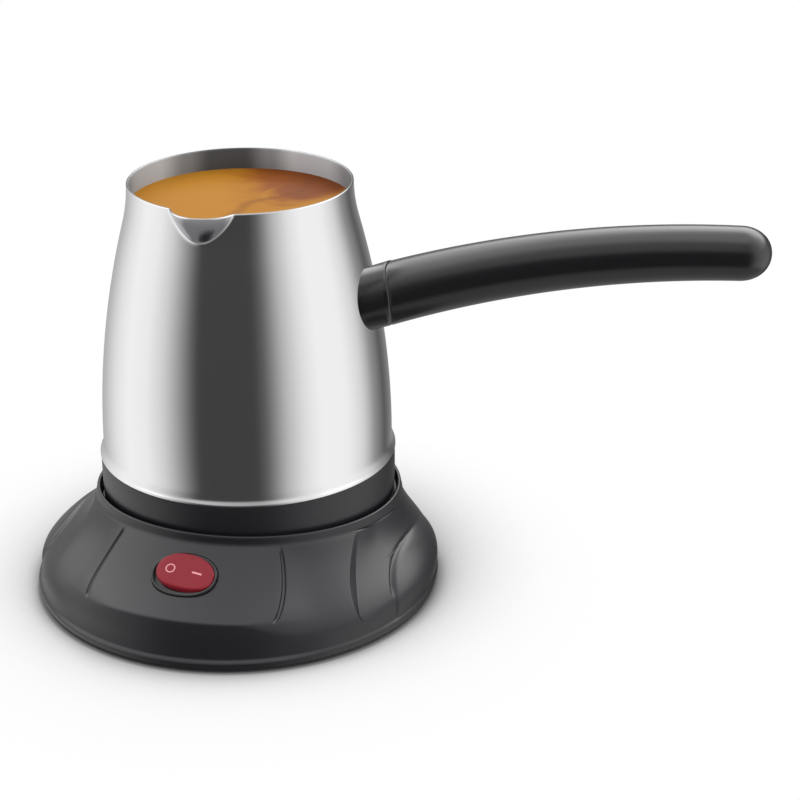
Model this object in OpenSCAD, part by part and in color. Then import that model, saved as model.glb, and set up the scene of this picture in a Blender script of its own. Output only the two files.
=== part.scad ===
// Electric Turkish coffee maker: a bell-shaped steel pot with a long handle,
// standing on a cordless base with a rocker switch.
// The origin is on the table under the pot's axis, the front (switch and
// spout) is at -Y, the handle points to +X and Z is up. Millimetres.

/* [Pot] */
// Height of the pot from the lower steel edge to the rim
pot_height = 90.1; // [80:0.1:110]
// Outer radius of the rim
rim_radius = 35.4; // [32:0.2:40]
// Outer radius of the wall at its widest
belly_radius = 46.8; // [44:0.2:52]
// Thickness of the steel wall
pot_wall = 0.8; // [0.6:0.1:1.2]
// How far the lower edge flares out from the wall
flare_width = 1.7; // [1:0.1:2.5]
// Height of the flare at the lower edge
flare_height = 3.5; // [2.5:0.25:5]
// Height of the pot's inside floor above the lower edge
pot_floor_rise = 5.4; // [4.5:0.1:8]
// How far the spout's tip stands in front of the rim
spout_reach = 5.6; // [3:0.2:8]
// Depth of the spout below the rim
spout_depth = 10.4; // [8:0.2:14]

/* [Skirt and heater] */
// Height of the black skirt under the steel
skirt_height = 17.5; // [16:0.5:24]
// Thickness of the skirt's wall
skirt_wall = 2.2; // [1.6:0.1:3]
// Thickness of the skirt's floor
skirt_floor_t = 2.2; // [1.8:0.1:3]
// Radius of the aluminium plate under the pot
heater_plate_radius = 41; // [39.5:0.5:43]
// Thickness of the aluminium plate
heater_plate_t = 2.6; // [2:0.1:4]
// Radius of the heating tube's ring
heater_ring_radius = 27; // [25:0.5:29]
// Radius of the heating tube itself
heater_tube_radius = 3.2; // [2.8:0.1:3.5]

/* [Handle] */
// Distance of the grip's tip from the pot's axis
handle_reach = 165.2; // [150:1:190]
// Height of the handle's root above the lower steel edge
handle_rise = 54.2; // [52:0.2:58]
// Slope of the handle at its root, in degrees
handle_slope = 21.7; // [19:0.1:23]
// Height lost to the handle's downward curve at its tip
handle_droop = 22.9; // [19:0.1:25]
// Radius of the handle at its root
grip_root_radius = 9.9; // [9.5:0.1:11]
// Radius of the handle near its tip
grip_tip_radius = 8; // [7.5:0.1:9.5]
// Distance of the seam between collar and grip from the pot's axis
collar_end = 48.8; // [48:0.2:54]
// Length of the steel tang inside the grip
tang_length = 44; // [30:1:60]

/* [Base] */
// Height of the seat's floor above the table
seat_height = 24; // [23:0.5:30]
// Extra radius of the base's outline over the seat
base_spread = 16.4; // [15:0.2:20]
// Distance of the outline's centre in front of the pot's axis
base_offset = 12.2; // [8:0.2:12.6]
// Thickness of the seat's floor
seat_floor_t = 3; // [2.6:0.1:3.4]
// Thickness of the base cover's wall
cover_wall = 2.2; // [1.8:0.1:2.6]
// Height of the collar's edge above the seat's floor, at the sides
collar_height = 5.8; // [5:0.2:8]
// Extra height of the collar's edge at the front
collar_tilt = 2.8; // [0:0.2:4]
// Thickness of the collar around the seat
collar_wall = 1.3; // [1:0.1:1.6]
// Height of the panel's lower crease above the table
crease_height = 15.3; // [13:0.1:17]
// Depth of the grooves beside the panel
groove_depth = 0.7; // [0.4:0.1:1]
// How far the rounded ears at the sides stand proud
ear_relief = 1.1; // [0.6:0.1:1.6]
// Thickness of the bottom plate
plate_t = 1.6; // [1.4:0.1:2.4]
// Gap under the bottom plate, made by the feet
foot_gap = 1.4; // [1:0.1:3]

/* [Switch] */
// Length of the switch's rim, a standard 21 x 15 mm oval rocker
bezel_length = 21; // [20:0.5:22]
// Width of the switch's rim
bezel_width = 15; // [14:0.5:16]
// Distance of the switch from the pot's axis
switch_reach = 60; // [59.6:0.2:61]
// Whole swing of the rocker, in degrees
rocker_swing = 18; // [14:1:20]

/* [Cordless coupler] */
// Radius of the base's coupler tower
tower_radius = 14.8; // [14:0.1:15.5]
// Height of the tower above the seat's floor
tower_height = 9; // [8:0.25:9.5]
// Distance of the contact slots from the axis
blade_reach = 8; // [7.6:0.1:8.4]
// Thickness of the pot's contact blades
blade_t = 1.2; // [1:0.1:1.4]
// Width of the pot's contact blades
blade_width = 5; // [4:0.2:5.4]

/* [Cord outlet] */
// Radius of the bore for the mains cord
cord_bore_radius = 3.1; // [2.8:0.1:3.4]
// Height of the cord outlet above the table
cord_height = 11; // [10.5:0.5:12]

/* [Clearances] */
// Gap around the skirt in the seat
seat_clearance = 1.2; // [1:0.1:2]
// Gap between parts that are only placed beside each other
fit_gap = 0.1; // [0.05:0.05:0.2]
// Radial gap around a screw or a hinge pin in its hole
pin_gap = 0.05; // [0.02:0.01:0.1]
// Gap between parts that slide past each other
slide_gap = 0.4; // [0.3:0.05:0.5]

/* [Hidden] */
$fn = 96;
eps = 0.01;

// Heights that stack up from the table
plate_z = foot_gap;
cover_z = foot_gap + plate_t;
seat_under = seat_height - seat_floor_t;
skirt_z = seat_height + 0.2;
flange_z = skirt_z + skirt_height;
rim_z = flange_z + pot_height;
pot_floor_z = flange_z + pot_floor_rise;
heater_top = pot_floor_z - pot_wall;
heater_under = heater_top - heater_plate_t;
skirt_floor_z = skirt_z + 2.6;
skirt_floor_top = skirt_floor_z + skirt_floor_t;

// Radii that follow the pot
flange_radius = belly_radius + flare_width;
skirt_radius = flange_radius - 0.4;
seat_radius = skirt_radius + seat_clearance;
collar_radius = seat_radius + collar_wall;
outline_radius = seat_radius + base_spread;

// Small screws: radius of the shank and of the head, height of the head
screw_r = 1.45;
screw_head_r = 2.8;
screw_head_h = 1.6;

function ease(x, a, b) = let (t = max(0, min(1, (x - a) / (b - a)))) t * t * (3 - 2 * t);
function mix(p, q, w) = p * (1 - w) + q * w;

// ---------------------------------------------------------------- pot ----

// The wall is a parabola from the belly up to the neck, then turns upright
neck_share = 0.85;
belly_z = flange_z + flare_height;
bell_k = 1 / (pow(neck_share, 2) + neck_share * (1 - neck_share));
function bell(t) = t < neck_share ? bell_k * t * t
    : bell_k * (pow(neck_share, 2) + 2 * neck_share * (t - neck_share)
        - neck_share * pow(t - neck_share, 2) / (1 - neck_share));
function pot_radius(z) = belly_radius
    - (belly_radius - rim_radius) * bell(max(0, (z - belly_z) / (rim_z - belly_z)));
function flare_radius(z) = belly_radius
    + flare_width * pow(max(0, (belly_z - z) / flare_height), 2.2);

wall_steps = 22;
function wall_points(inset, from_z) = [for (i = [0:wall_steps])
    let (z = from_z + (rim_z - from_z) * i / wall_steps) [pot_radius(z) - inset, z]];
function flare_points(inset) = [for (i = [0:5])
    let (z = flange_z + flare_height * i / 6) [flare_radius(z) - inset, z]];
function backward(list) = [for (i = [len(list) - 1:-1:0]) list[i]];

// The pot's outside as a solid body, grown by extra on the radius
module pot_body(extra) {
    rotate_extrude()
        polygon(concat([[0, flange_z]], flare_points(-extra),
            wall_points(-extra, belly_z), [[0, rim_z]]));
}

// Half a ball under a short upright part makes the pressed pouring lip
spout_half_angle = 17;
spout_tip = rim_radius + spout_reach;
spout_centre = (pow(spout_tip, 2) - pow(rim_radius, 2))
    / (2 * (spout_tip - rim_radius * cos(spout_half_angle)));
spout_r = spout_tip - spout_centre;
spout_upright = spout_depth
    - sqrt(pow(spout_r, 2) - pow(pot_radius(rim_z - spout_depth) - spout_centre, 2));
module spout_bowl(inset, above) {
    r = spout_r - inset;
    translate([0, -spout_centre, rim_z - spout_upright]) rotate_extrude()
        polygon(concat([[0, -r]], [for (a = [-75:15:-15]) [r * cos(a), r * sin(a)]],
            [[r, 0], [r, spout_upright + above], [0, spout_upright + above]]));
}

module pot_shell() {
    corner = 2.4;
    edge = pot_wall / 2;
    color([0.75, 0.75, 0.76]) difference() {
        union() {
            rotate_extrude() polygon(concat(
                [[flange_radius - pot_wall, flange_z]], flare_points(0),
                wall_points(0, belly_z), [[0, rim_z]], [[0, heater_top]],
                [[belly_radius - pot_wall, heater_top]],
                backward(flare_points(pot_wall))));
            spout_bowl(0, 0);
        }
        rotate_extrude() polygon(concat(
            [[0, pot_floor_z]], [for (a = [0:30:90])
                [belly_radius - pot_wall - corner * (1 - sin(a)),
                 pot_floor_z + corner * (1 - cos(a))]],
            wall_points(pot_wall, pot_floor_z + 1.5 * corner),
            [[rim_radius - pot_wall, rim_z + 1], [0, rim_z + 1]]));
        spout_bowl(pot_wall, 1);
        translate([0, 0, rim_z - edge]) rim_rounding(edge);
    }
}

// The cut that rounds the outer corner of the steel rim
module rim_rounding(edge) {
    rotate_extrude() polygon([[rim_radius - edge * 0.4, edge], [rim_radius + 1, -edge * 0.4],
        [rim_radius + 1, edge + 1], [rim_radius - edge * 0.4, edge + 1]]);
}

// ------------------------------------------------------------- heater ----

post_reach = 36.5;
post_angles = [30, 150, 270];
module at_posts() {
    for (a = post_angles) rotate([0, 0, a]) translate([post_reach, 0, 0]) children();
}

module heater_plate() {
    color([0.8, 0.8, 0.82]) translate([0, 0, heater_under])
        cylinder(h = heater_plate_t, r = heater_plate_radius);
}

heater_gap_angle = 50;
heater_tube_z = heater_under - heater_tube_radius;
heater_pin_len = 3;
heater_stub_z = heater_tube_z - 3.6;
module heater_tube() {
    half_gap = heater_gap_angle / 2;
    color([0.55, 0.5, 0.45]) {
        difference() {
            translate([0, 0, heater_tube_z]) rotate_extrude()
                translate([heater_ring_radius, 0]) circle(r = heater_tube_radius);
            linear_extrude(2 * heater_under) polygon([[0, 0],
                60 * [sin(-half_gap), cos(half_gap)], 60 * [sin(half_gap), cos(half_gap)]]);
        }
        for (s = [-1, 1]) rotate([0, 0, 90 + s * half_gap])
            translate([heater_ring_radius, 0, heater_stub_z]) {
                cylinder(h = heater_under - heater_stub_z, r = heater_tube_radius + 0.5);
                translate([0, 0, -heater_pin_len]) cylinder(h = heater_pin_len + 1, r = 1.2);
            }
    }
}

thermostat_r = 8.6;
thermostat_cap_h = 1.8;
thermostat_body_h = 3.2;
thermostat_z = heater_under - thermostat_cap_h - thermostat_body_h;
disc_t = 0.3;
tab_len = 7;
thermostat_y = 13.4;
module thermostat() {
    color([0.2, 0.19, 0.18]) translate([0, thermostat_y, 0]) difference() {
        union() {
            translate([0, 0, thermostat_z])
                cylinder(h = thermostat_body_h, r = thermostat_r - 0.8);
            translate([0, 0, thermostat_z + thermostat_body_h])
                cylinder(h = thermostat_cap_h, r = thermostat_r);
            for (s = [-1, 1]) translate([s > 0 ? thermostat_r - 2 : -thermostat_r - tab_len + 2,
                    -2.4, thermostat_z + 0.6])
                cube([tab_len, 4.8, 0.8]);
        }
        translate([0, 0, heater_under - 1.1]) cylinder(h = 0.7, r = thermostat_r - 1);
    }
}

module bimetal_disc() {
    color([0.7, 0.6, 0.4]) translate([0, thermostat_y, heater_under - 1.1])
        cylinder(h = disc_t, r = thermostat_r - 1.4);
}

module plate_posts() {
    color([0.7, 0.7, 0.72]) at_posts() difference() {
        translate([0, 0, skirt_floor_top]) cylinder(h = heater_under - skirt_floor_top, r = 3);
        translate([0, 0, skirt_floor_top - 1]) cylinder(h = 10, r = screw_r + pin_gap);
    }
}

// -------------------------------------------------------------- skirt ----

coupler_flange_t = 2;
coupler_flange_r = tower_radius + 9.4;
socket_r = tower_radius + slide_gap;
socket_wall = 2.4;
coupler_outer_r = socket_r + socket_wall;
coupler_screw_reach = (coupler_outer_r + coupler_flange_r) / 2 + 0.3;

module pot_skirt() {
    spigot_r = belly_radius - pot_wall - fit_gap;
    spigot_h = flare_height - 0.3;
    color([0.12, 0.12, 0.13]) difference() {
        rotate_extrude() polygon([
            [coupler_outer_r + fit_gap, skirt_floor_z],
            [skirt_radius - 5, skirt_floor_z],
            [skirt_radius - 3.4, skirt_z],
            [skirt_radius - 0.9, skirt_z],
            [skirt_radius - 0.4, skirt_z + 0.5],
            [skirt_radius, skirt_z + 8],
            [skirt_radius, flange_z],
            [spigot_r, flange_z],
            [spigot_r, flange_z + spigot_h],
            [spigot_r - skirt_wall, flange_z + spigot_h],
            [skirt_radius - skirt_wall - 2, skirt_floor_top + 6],
            [skirt_radius - skirt_wall - 2.6, skirt_floor_top],
            [coupler_outer_r + fit_gap, skirt_floor_top]]);
        at_posts() translate([0, 0, skirt_floor_z - 1])
            cylinder(h = skirt_floor_t + 2, r = screw_r + pin_gap);
        for (s = [-1, 1]) translate([s * coupler_screw_reach, 0, skirt_floor_z - 1])
            cylinder(h = skirt_floor_t + 2, r = screw_r + pin_gap);
    }
}

// Pan-head screw with a cross slot; the head's seat is at z = 0, shank up
module screw(length) {
    difference() {
        union() {
            translate([0, 0, -screw_head_h]) cylinder(h = screw_head_h, r = screw_head_r);
            cylinder(h = length, r = screw_r);
        }
        for (a = [0, 90]) rotate([0, 0, a])
            translate([-1.6, -0.35, -screw_head_h - 1]) cube([3.2, 0.7, 1.8]);
    }
}

module skirt_screws() {
    color("silver") at_posts() translate([0, 0, skirt_floor_z]) screw(10);
}

// ------------------------------------------------------------ coupler ----

// A flat on the tower's back keys the pot, so that it seats one way only
key_flat = 0.8 * tower_radius;
tower_top = seat_height + tower_height;
socket_top = tower_top + 0.6;
coupler_top = socket_top + 2.8;
coupler_bottom = seat_height + 1;
blade_bottom = tower_top - 7.5;
blade_tail = coupler_top + 2;
slot_gap = 0.9;
blade_places = [[-blade_reach, 0, 90], [blade_reach, 0, 90], [0, -blade_reach, 0]];

module at_blade(i) {
    translate([blade_places[i][0], blade_places[i][1], 0])
        rotate([0, 0, blade_places[i][2]]) children();
}

// Round bar with the key's flat on its back
module keyed_bar(r, flat, z0, z1) {
    difference() {
        translate([0, 0, z0]) cylinder(h = z1 - z0, r = r);
        translate([-r, flat, z0 - 1]) cube([2 * r, r, z1 - z0 + 2]);
    }
}

module pot_coupler() {
    color([0.9, 0.88, 0.82]) difference() {
        union() {
            translate([0, 0, coupler_bottom])
                cylinder(h = coupler_top - coupler_bottom, r = coupler_outer_r);
            translate([0, 0, skirt_floor_top])
                cylinder(h = coupler_flange_t, r = coupler_flange_r);
        }
        keyed_bar(socket_r, key_flat + slide_gap, coupler_bottom - 1, socket_top);
        for (i = [0:2]) at_blade(i)
            translate([-blade_width / 2 - pin_gap, -blade_t / 2 - pin_gap, socket_top - 1])
                cube([blade_width + 2 * pin_gap, blade_t + 2 * pin_gap, 6]);
        for (s = [-1, 1]) translate([s * coupler_screw_reach, 0, skirt_floor_top - 1])
            cylinder(h = coupler_flange_t + 2, r = screw_r + pin_gap);
    }
}

module pot_coupler_screws() {
    color("silver") for (s = [-1, 1])
        translate([s * coupler_screw_reach, 0, skirt_floor_top + coupler_flange_t])
            mirror([0, 0, 1]) screw(coupler_flange_t + skirt_floor_t - 0.4);
}

// One flat contact blade with a pointed tip and shoulders over the housing
module blade(i) {
    half = blade_width / 2;
    color([0.85, 0.7, 0.35]) at_blade(i) rotate([90, 0, 0])
        translate([0, 0, -blade_t / 2]) linear_extrude(blade_t) polygon([
            [-half + 1.2, blade_bottom], [half - 1.2, blade_bottom],
            [half, blade_bottom + 1.6], [half, coupler_top],
            [half + 0.9, coupler_top], [half + 0.9, coupler_top + 0.8],
            [1.6, coupler_top + 0.8], [1.6, blade_tail],
            [-1.6, blade_tail], [-1.6, coupler_top + 0.8],
            [-half - 0.9, coupler_top + 0.8], [-half - 0.9, coupler_top],
            [-half, coupler_top], [-half, blade_bottom + 1.6]]);
}
module live_blade() { blade(0); }
module neutral_blade() { blade(1); }
module earth_blade() { blade(2); }

base_flange_t = 3;
base_flange_z = seat_under - base_flange_t;
wiring_space = 9;
base_coupler_z = cover_z + wiring_space;
coupler_base_reach = tower_radius + 4.4;
coupler_screw_len = base_flange_t + seat_floor_t - 0.8;
module base_coupler() {
    flange_r = tower_radius + 7.6;
    color([0.88, 0.86, 0.8]) difference() {
        union() {
            keyed_bar(tower_radius, key_flat, base_coupler_z, tower_top);
            translate([0, 0, base_flange_z]) cylinder(h = base_flange_t, r = flange_r);
        }
        for (i = [0:2]) at_blade(i)
            translate([-blade_width / 2 - slot_gap, -blade_t / 2 - slot_gap, base_coupler_z - 1])
                cube([blade_width + 2 * slot_gap, blade_t + 2 * slot_gap, tower_top]);
        for (s = [-1, 1]) translate([s * coupler_base_reach, 0, base_flange_z - 1])
            cylinder(h = base_flange_t + 2, r = screw_r + pin_gap);
    }
}

module base_coupler_screws() {
    color("silver") for (s = [-1, 1])
        translate([s * coupler_base_reach, 0, base_flange_z]) screw(coupler_screw_len);
}

// A folded spring clip inside each slot, with a tail to solder a lead to
contact_tail = base_coupler_z - 3;
module contact(i) {
    leaf = 0.4;
    grip_gap = blade_t / 2 + 0.12;
    width = blade_width - 0.6;
    top = tower_top - 2;
    foot = base_coupler_z + 2;
    color([0.8, 0.62, 0.3]) at_blade(i) rotate([90, 0, 90])
        translate([0, 0, -width / 2]) linear_extrude(width) polygon([
            [-grip_gap - leaf, top], [-grip_gap, top],
            [-grip_gap, foot + leaf], [grip_gap, foot + leaf],
            [grip_gap, top], [grip_gap + leaf, top],
            [grip_gap + leaf, foot], [leaf, foot],
            [leaf, contact_tail], [-leaf, contact_tail],
            [-leaf, foot], [-grip_gap - leaf, foot]]);
}
module live_contact() { contact(0); }
module neutral_contact() { contact(1); }
module earth_contact() { contact(2); }

// -------------------------------------------------------------- leads ----

lead_r = 1;
lead_sides = 8;
function unit(v) = v / norm(v);

// A tube of constant radius along a route of points, as one closed skin;
// its frame is carried along the route, so that the tube doesn't twist
module lead(route) {
    n = len(route);
    function along(i) = unit(route[min(n - 1, i + 1)] - route[max(0, i - 1)]);
    function side(i) = let (t = along(i), v = i == 0 ? [0.31, 0.57, 0.76] : side(i - 1))
        unit(v - (v * t) * t);
    skin([for (i = [0:n - 1]) let (a = side(i), b = cross(along(i), a))
        [for (k = [0:lead_sides - 1]) let (w = 360 * k / lead_sides)
            route[i] + lead_r * (cos(w) * b + sin(w) * a)]]);
}

// A smooth route that leaves p along u and arrives at q along v
function curve(p, u, q, v, steps = 10) = let (p1 = p + 0.8 * unit(u), q1 = q - 0.8 * unit(v))
    concat([p], [for (i = [0:steps]) let (t = i / steps, s = 1 - t)
        s * s * s * p1 + 3 * s * s * t * (p1 + u) + 3 * s * t * t * (q1 - v) + t * t * t * q1], [q]);

// Two routes, the second going on where the first ends
function join(a, b) = concat(a, [for (i = [1:len(b) - 1]) b[i]]);

function heater_pin(s) = let (a = 90 + s * heater_gap_angle / 2)
    [heater_ring_radius * cos(a), heater_ring_radius * sin(a), heater_stub_z - heater_pin_len];
tab_z = thermostat_z + 0.6;
tab_reach = thermostat_r + tab_len - 2.6;

module heater_lead() {
    bend = [-16.5, 10.5, coupler_top + 1.8];
    color([0.75, 0.2, 0.15]) lead(join(
        curve([-blade_reach, 0, blade_tail], [0, 0, 2.5], bend, [-3, 5, -1]),
        curve(bend, [-3, 5, -1], heater_pin(1), [0, 0, 2.5])));
}

module thermostat_lead() {
    color([0.2, 0.35, 0.7]) lead(curve([blade_reach, 0, blade_tail], [0, 0, 1],
        [tab_reach, thermostat_y, tab_z], [0, 0, 2]));
}

module thermostat_link() {
    bend = [0, 22.3, coupler_top - 1.8];
    color([0.2, 0.35, 0.7]) lead(join(
        curve([-tab_reach, thermostat_y, tab_z], [0, 0, -3], bend, [6, 1, 0]),
        curve(bend, [6, 1, 0], heater_pin(-1), [0, 0, 3])));
}

// ------------------------------------------------------------- handle ----

root_x = belly_radius - 6;
handle_z = flange_z + handle_rise;
handle_run = handle_reach - root_x;
function handle_mid(x) = let (t = x - root_x)
    [x, 0, handle_z + t * tan(handle_slope) - handle_droop * pow(t / handle_run, 2)];
function handle_pitch(x) = atan(tan(handle_slope) - 2 * handle_droop * (x - root_x) / pow(handle_run, 2));

// The axis of collar and tang: a straight line along the handle's root
module on_handle_axis() {
    translate([root_x, 0, handle_z]) rotate([0, -handle_slope, 0]) children();
}

tang_width = 10;
tang_t = 2.5;
tang_behind = 4;
tang_beyond = 8;
handle_screw_x = collar_end + 22;
saddle_t = 1.3;
saddle_r = 7.6;
module handle_bracket() {
    color([0.7, 0.7, 0.72]) difference() {
        union() {
            intersection() {
                pot_body(saddle_t);
                on_handle_axis() rotate([0, 90, 0]) cylinder(h = 40, r = saddle_r, center = true);
            }
            on_handle_axis() translate([-tang_behind, -tang_width / 2, -tang_t / 2])
                cube([tang_behind + tang_length + tang_beyond, tang_width, tang_t]);
        }
        pot_body(0);
        handle_screw_axis() cylinder(h = 4 * tang_t, r = screw_r + pin_gap, center = true);
    }
}

// Where the grip's screw crosses the tang
module handle_screw_axis() {
    on_handle_axis() translate([(handle_screw_x - root_x) / cos(handle_slope), 0, 0]) children();
}

module tang_slot() {
    on_handle_axis() translate([-tang_behind - 1, -tang_width / 2 - fit_gap, -tang_t / 2 - fit_gap])
        cube([tang_behind + tang_length + tang_beyond + 2, tang_width + 2 * fit_gap,
            tang_t + 2 * fit_gap]);
}

// The grip's end is rounded about an upright axis, and the collar's end is
// hollowed to take it
seam_r = 22;
seam_lean = 5;
module beyond_seam(gap) {
    translate([collar_end, 0, handle_z]) rotate([0, -seam_lean, 0]) {
        translate([seam_r, 0, -40]) cylinder(h = 80, r = seam_r - gap);
        translate([seam_r, gap - seam_r, -40])
            cube([handle_reach, 2 * (seam_r - gap), 80]);
    }
}

module handle_collar() {
    color([0.08, 0.08, 0.09]) difference() {
        on_handle_axis() translate([-6, 0, 0]) rotate([0, 90, 0])
            cylinder(h = 30, r = grip_root_radius - 0.1);
        beyond_seam(0);
        pot_body(0);
        intersection() {
            pot_body(saddle_t + fit_gap);
            on_handle_axis() rotate([0, 90, 0])
                cylinder(h = 60, r = saddle_r + fit_gap, center = true);
        }
        tang_slot();
    }
}

// The grip: round sections along the curve, closed by a blunt rounded end
grip_sides = 28;
grip_steps = 18;
tip_steps = 6;
tip_len = 9.5;
function grip_radius(x) = mix(grip_root_radius, grip_tip_radius, (x - root_x) / handle_run);
function tip_scale(w) = pow(max(0, 1 - pow(w, 2.1)), 1 / 2.1);
function grip_ring(x, scale) = let (p = handle_mid(x), a = handle_pitch(x), r = grip_radius(x) * scale)
    [for (k = [0:grip_sides - 1]) let (w = 360 * k / grip_sides)
        p + [-r * sin(w) * sin(a), r * cos(w), r * sin(w) * cos(a)]];
function grip_rings() = concat(
    [for (i = [0:grip_steps]) grip_ring(mix(root_x, handle_reach - tip_len, i / grip_steps), 1)],
    [for (i = [1:tip_steps - 1]) let (w = sin(90 * i / tip_steps))
        grip_ring(handle_reach - tip_len * (1 - w), tip_scale(w))]);

// A closed skin over a stack of rings with the same number of points each
module skin(rings) {
    n = len(rings[0]);
    m = len(rings);
    polyhedron(points = [for (ring = rings) each ring], faces = concat(
        [[for (k = [0:n - 1]) k]],
        [[for (k = [n - 1:-1:0]) (m - 1) * n + k]],
        [for (i = [0:m - 2]) for (k = [0:n - 1])
            let (j = (k + 1) % n, p = i * n, q = p + n)
                each [[p + k, q + k, p + j], [p + j, q + k, q + j]]]));
}

module handle_grip() {
    color([0.1, 0.1, 0.11]) difference() {
        intersection() {
            skin(grip_rings());
            beyond_seam(fit_gap);
        }
        tang_slot();
        handle_screw_axis() {
            translate([0, 0, -20]) cylinder(h = 20, r = screw_r + pin_gap);
            translate([0, 0, -20]) cylinder(h = 20 - screw_seat, r = screw_head_r + 0.3);
            cylinder(h = 5, r = screw_r + pin_gap);
        }
    }
}

screw_seat = 4.2;
module handle_screw() {
    color("silver") handle_screw_axis() translate([0, 0, -screw_seat]) screw(screw_seat + 4);
}

// --------------------------------------------------------- base cover ----

// Angles are measured from the front. The outline is a circle whose centre
// lies in front of the pot's axis; the collar is a circle about the axis.
function outline(a, r) = base_offset * cos(a) + sqrt(pow(r, 2) - pow(base_offset * sin(a), 2));
function collar_top(a) = seat_height + collar_height + collar_tilt * cos(a);
collar_side = 3.2;
panel_inset = 3.7;
panel_angle = 29;
panel_share = 0.6;
panel_sag = 0.06;

// Front: a slightly hollow panel down to a crease, then a steep band
function front_point(a, s) = let (
        top = [collar_radius + 0.6, collar_top(a) - collar_side],
        crease = [outline(a, outline_radius - panel_inset),
            crease_height - 1.6 * pow(min(a, 40) / panel_angle, 2)],
        foot = [outline(a, outline_radius), cover_z])
    s < panel_share
        ? let (k = s / panel_share) [mix(top[0], crease[0], k),
            mix(top[1], crease[1], k + panel_sag * sin(180 * k))]
        : mix(crease, foot, (s - panel_share) / (1 - panel_share));

// Sides and back: one round shoulder, as a cubic curve
function side_point(a, s) = let (
        top = [collar_radius + 0.6, collar_top(a) - collar_side],
        foot = [outline(a, outline_radius), cover_z],
        bulge = 0.2 + 2 * ease(a, 35, 75) * (1 - ease(a, 150, 180)),
        top_arm = top + [0.4 * (foot[0] - top[0]), -0.5 * (top[1] - foot[1])],
        foot_arm = foot + [bulge, 0.45 * (top[1] - foot[1])],
        t = 1 - s)
    t * t * t * top + 3 * t * t * s * top_arm + 3 * t * s * s * foot_arm + s * s * s * foot;

// Relief: behind the panel the shell swells up to a crease, drops in a
// crescent-shaped step and runs out towards the rounded ear on each side
ear_angle = 95;
ear_half = 37;
function ear(a, s) = let (e = pow((a - ear_angle) / ear_half, 2) + pow((s - 1) / 0.84, 2))
    ear_relief * (1 - ease(s, 0.9, 1)) * (pow(max(0, 1 - e), 0.4)
        - 0.85 * ease(a, step_back(s), step_back(s) + 12));
step_depth = 1.5;
function step_front(s) = 46.8 + (s < 0.63 ? 13.2 * pow(1 - s / 0.63, 2.2) : 30 * pow(s - 0.63, 2));
function step_back(s) = step_front(s) + 0.8 + 2.7 * sin(180 * min(1, 1.25 * s + 0.1));
function step(a, s) = let (front = step_front(s), back = step_back(s))
    step_depth * pow(sin(180 * min(1, s / 0.86)), 0.7)
        * (a < front ? 0.5 * ease(a, 33, front)
            : a < back ? 0.5 - (a - front) / (back - front)
            : -0.5 * (1 - ease(a, back, back + 13)));

function cover_point(a, s) = let (
        p = mix(front_point(a, s), side_point(a, s), ease(a, panel_angle - 3, panel_angle + 11)),
        lift = ear(a, s) + step(a, s))
    p + [lift * 0.8, lift * 0.6 * (1 - s)];

// Moved towards the inside by depth, square to the profile
function inside_point(a, s, depth) = let (
        e = 0.04,
        d = cover_point(a, min(1, s + e)) - cover_point(a, max(0, s - e)),
        n = [-d[1], d[0]] / norm(d))
    cover_point(a, s) - depth * n;

function at_angle(a, p) = [p[0] * sin(a), -p[0] * cos(a), p[1]];
azimuth_step = 4;
azimuths = [for (a = [-180:azimuth_step:180 - azimuth_step]) a];
profile_steps = 13;

module cover_solid() {
    skin(concat(
        [for (i = [0:profile_steps]) let (s = 1 - i / profile_steps)
            [for (a = azimuths) at_angle(a, cover_point(abs(a), s))]],
        [[for (a = azimuths) at_angle(a, [collar_radius + 0.2, collar_top(a) - 0.5])],
         [for (a = azimuths) at_angle(a, [collar_radius - 0.1, collar_top(a) - 0.1])],
         [for (a = azimuths) at_angle(a, [collar_radius - 0.5, collar_top(a)])]]));
}

module cover_cavity() {
    steps = 8;
    skin(concat(
        [[for (a = azimuths) let (p = inside_point(abs(a), 1, cover_wall))
            at_angle(a, [p[0], cover_z - 1])]],
        [for (i = [0:steps]) let (s = 1 - i / steps)
            [for (a = azimuths) at_angle(a, inside_point(abs(a), s, cover_wall))]]));
}

// The groove at each edge of the panel curves in towards the crease
groove_bend = 5.1;
groove_half = 0.75;
module panel_grooves() {
    steps = 9;
    for (side = [-1, 1]) skin([for (i = [0:steps]) let (
            s = 0.05 + (panel_share - 0.06) * i / steps,
            a = panel_angle + 1.3 - groove_bend * pow(s / panel_share, 2.2),
            half = groove_half * sin(25 + 130 * i / steps),
            p = cover_point(a, s),
            turn = 57.3 / p[0])
        [for (q = [[-half, 0.5], [0, -groove_depth], [half, 0.5]])
            at_angle(side * (a + q[0] * turn * side), p + [0.45, 0.9] * q[1])]]);
}

// --------------------------------------------------------- the switch ----

switch_s = panel_share * (switch_reach - collar_radius - 0.6)
    / (outline(0, outline_radius - panel_inset) - collar_radius - 0.6);
switch_point = cover_point(0, switch_s);
switch_slope = let (d = cover_point(0, switch_s + 0.02) - cover_point(0, switch_s - 0.02))
    -atan(d[1] / d[0]);
bezel_rise = 0.6;
bezel_depth = 2;
rocker_pivot = -2.8;

// The switch's own frame: x along the oval, y up the slope, z out of the panel
module on_switch() {
    translate([0, -switch_point[0], switch_point[1]]) rotate([switch_slope, 0, 0]) children();
}

// A full oval, a little squarer than an ellipse
module oval(length, width, z0, z1) {
    translate([0, 0, z0]) linear_extrude(z1 - z0) polygon([for (k = [0:47]) let (w = 7.5 * k)
        [length / 2 * sign(cos(w)) * pow(abs(cos(w)), 0.9),
         width / 2 * sign(sin(w)) * pow(abs(sin(w)), 0.9)]]);
}

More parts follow.
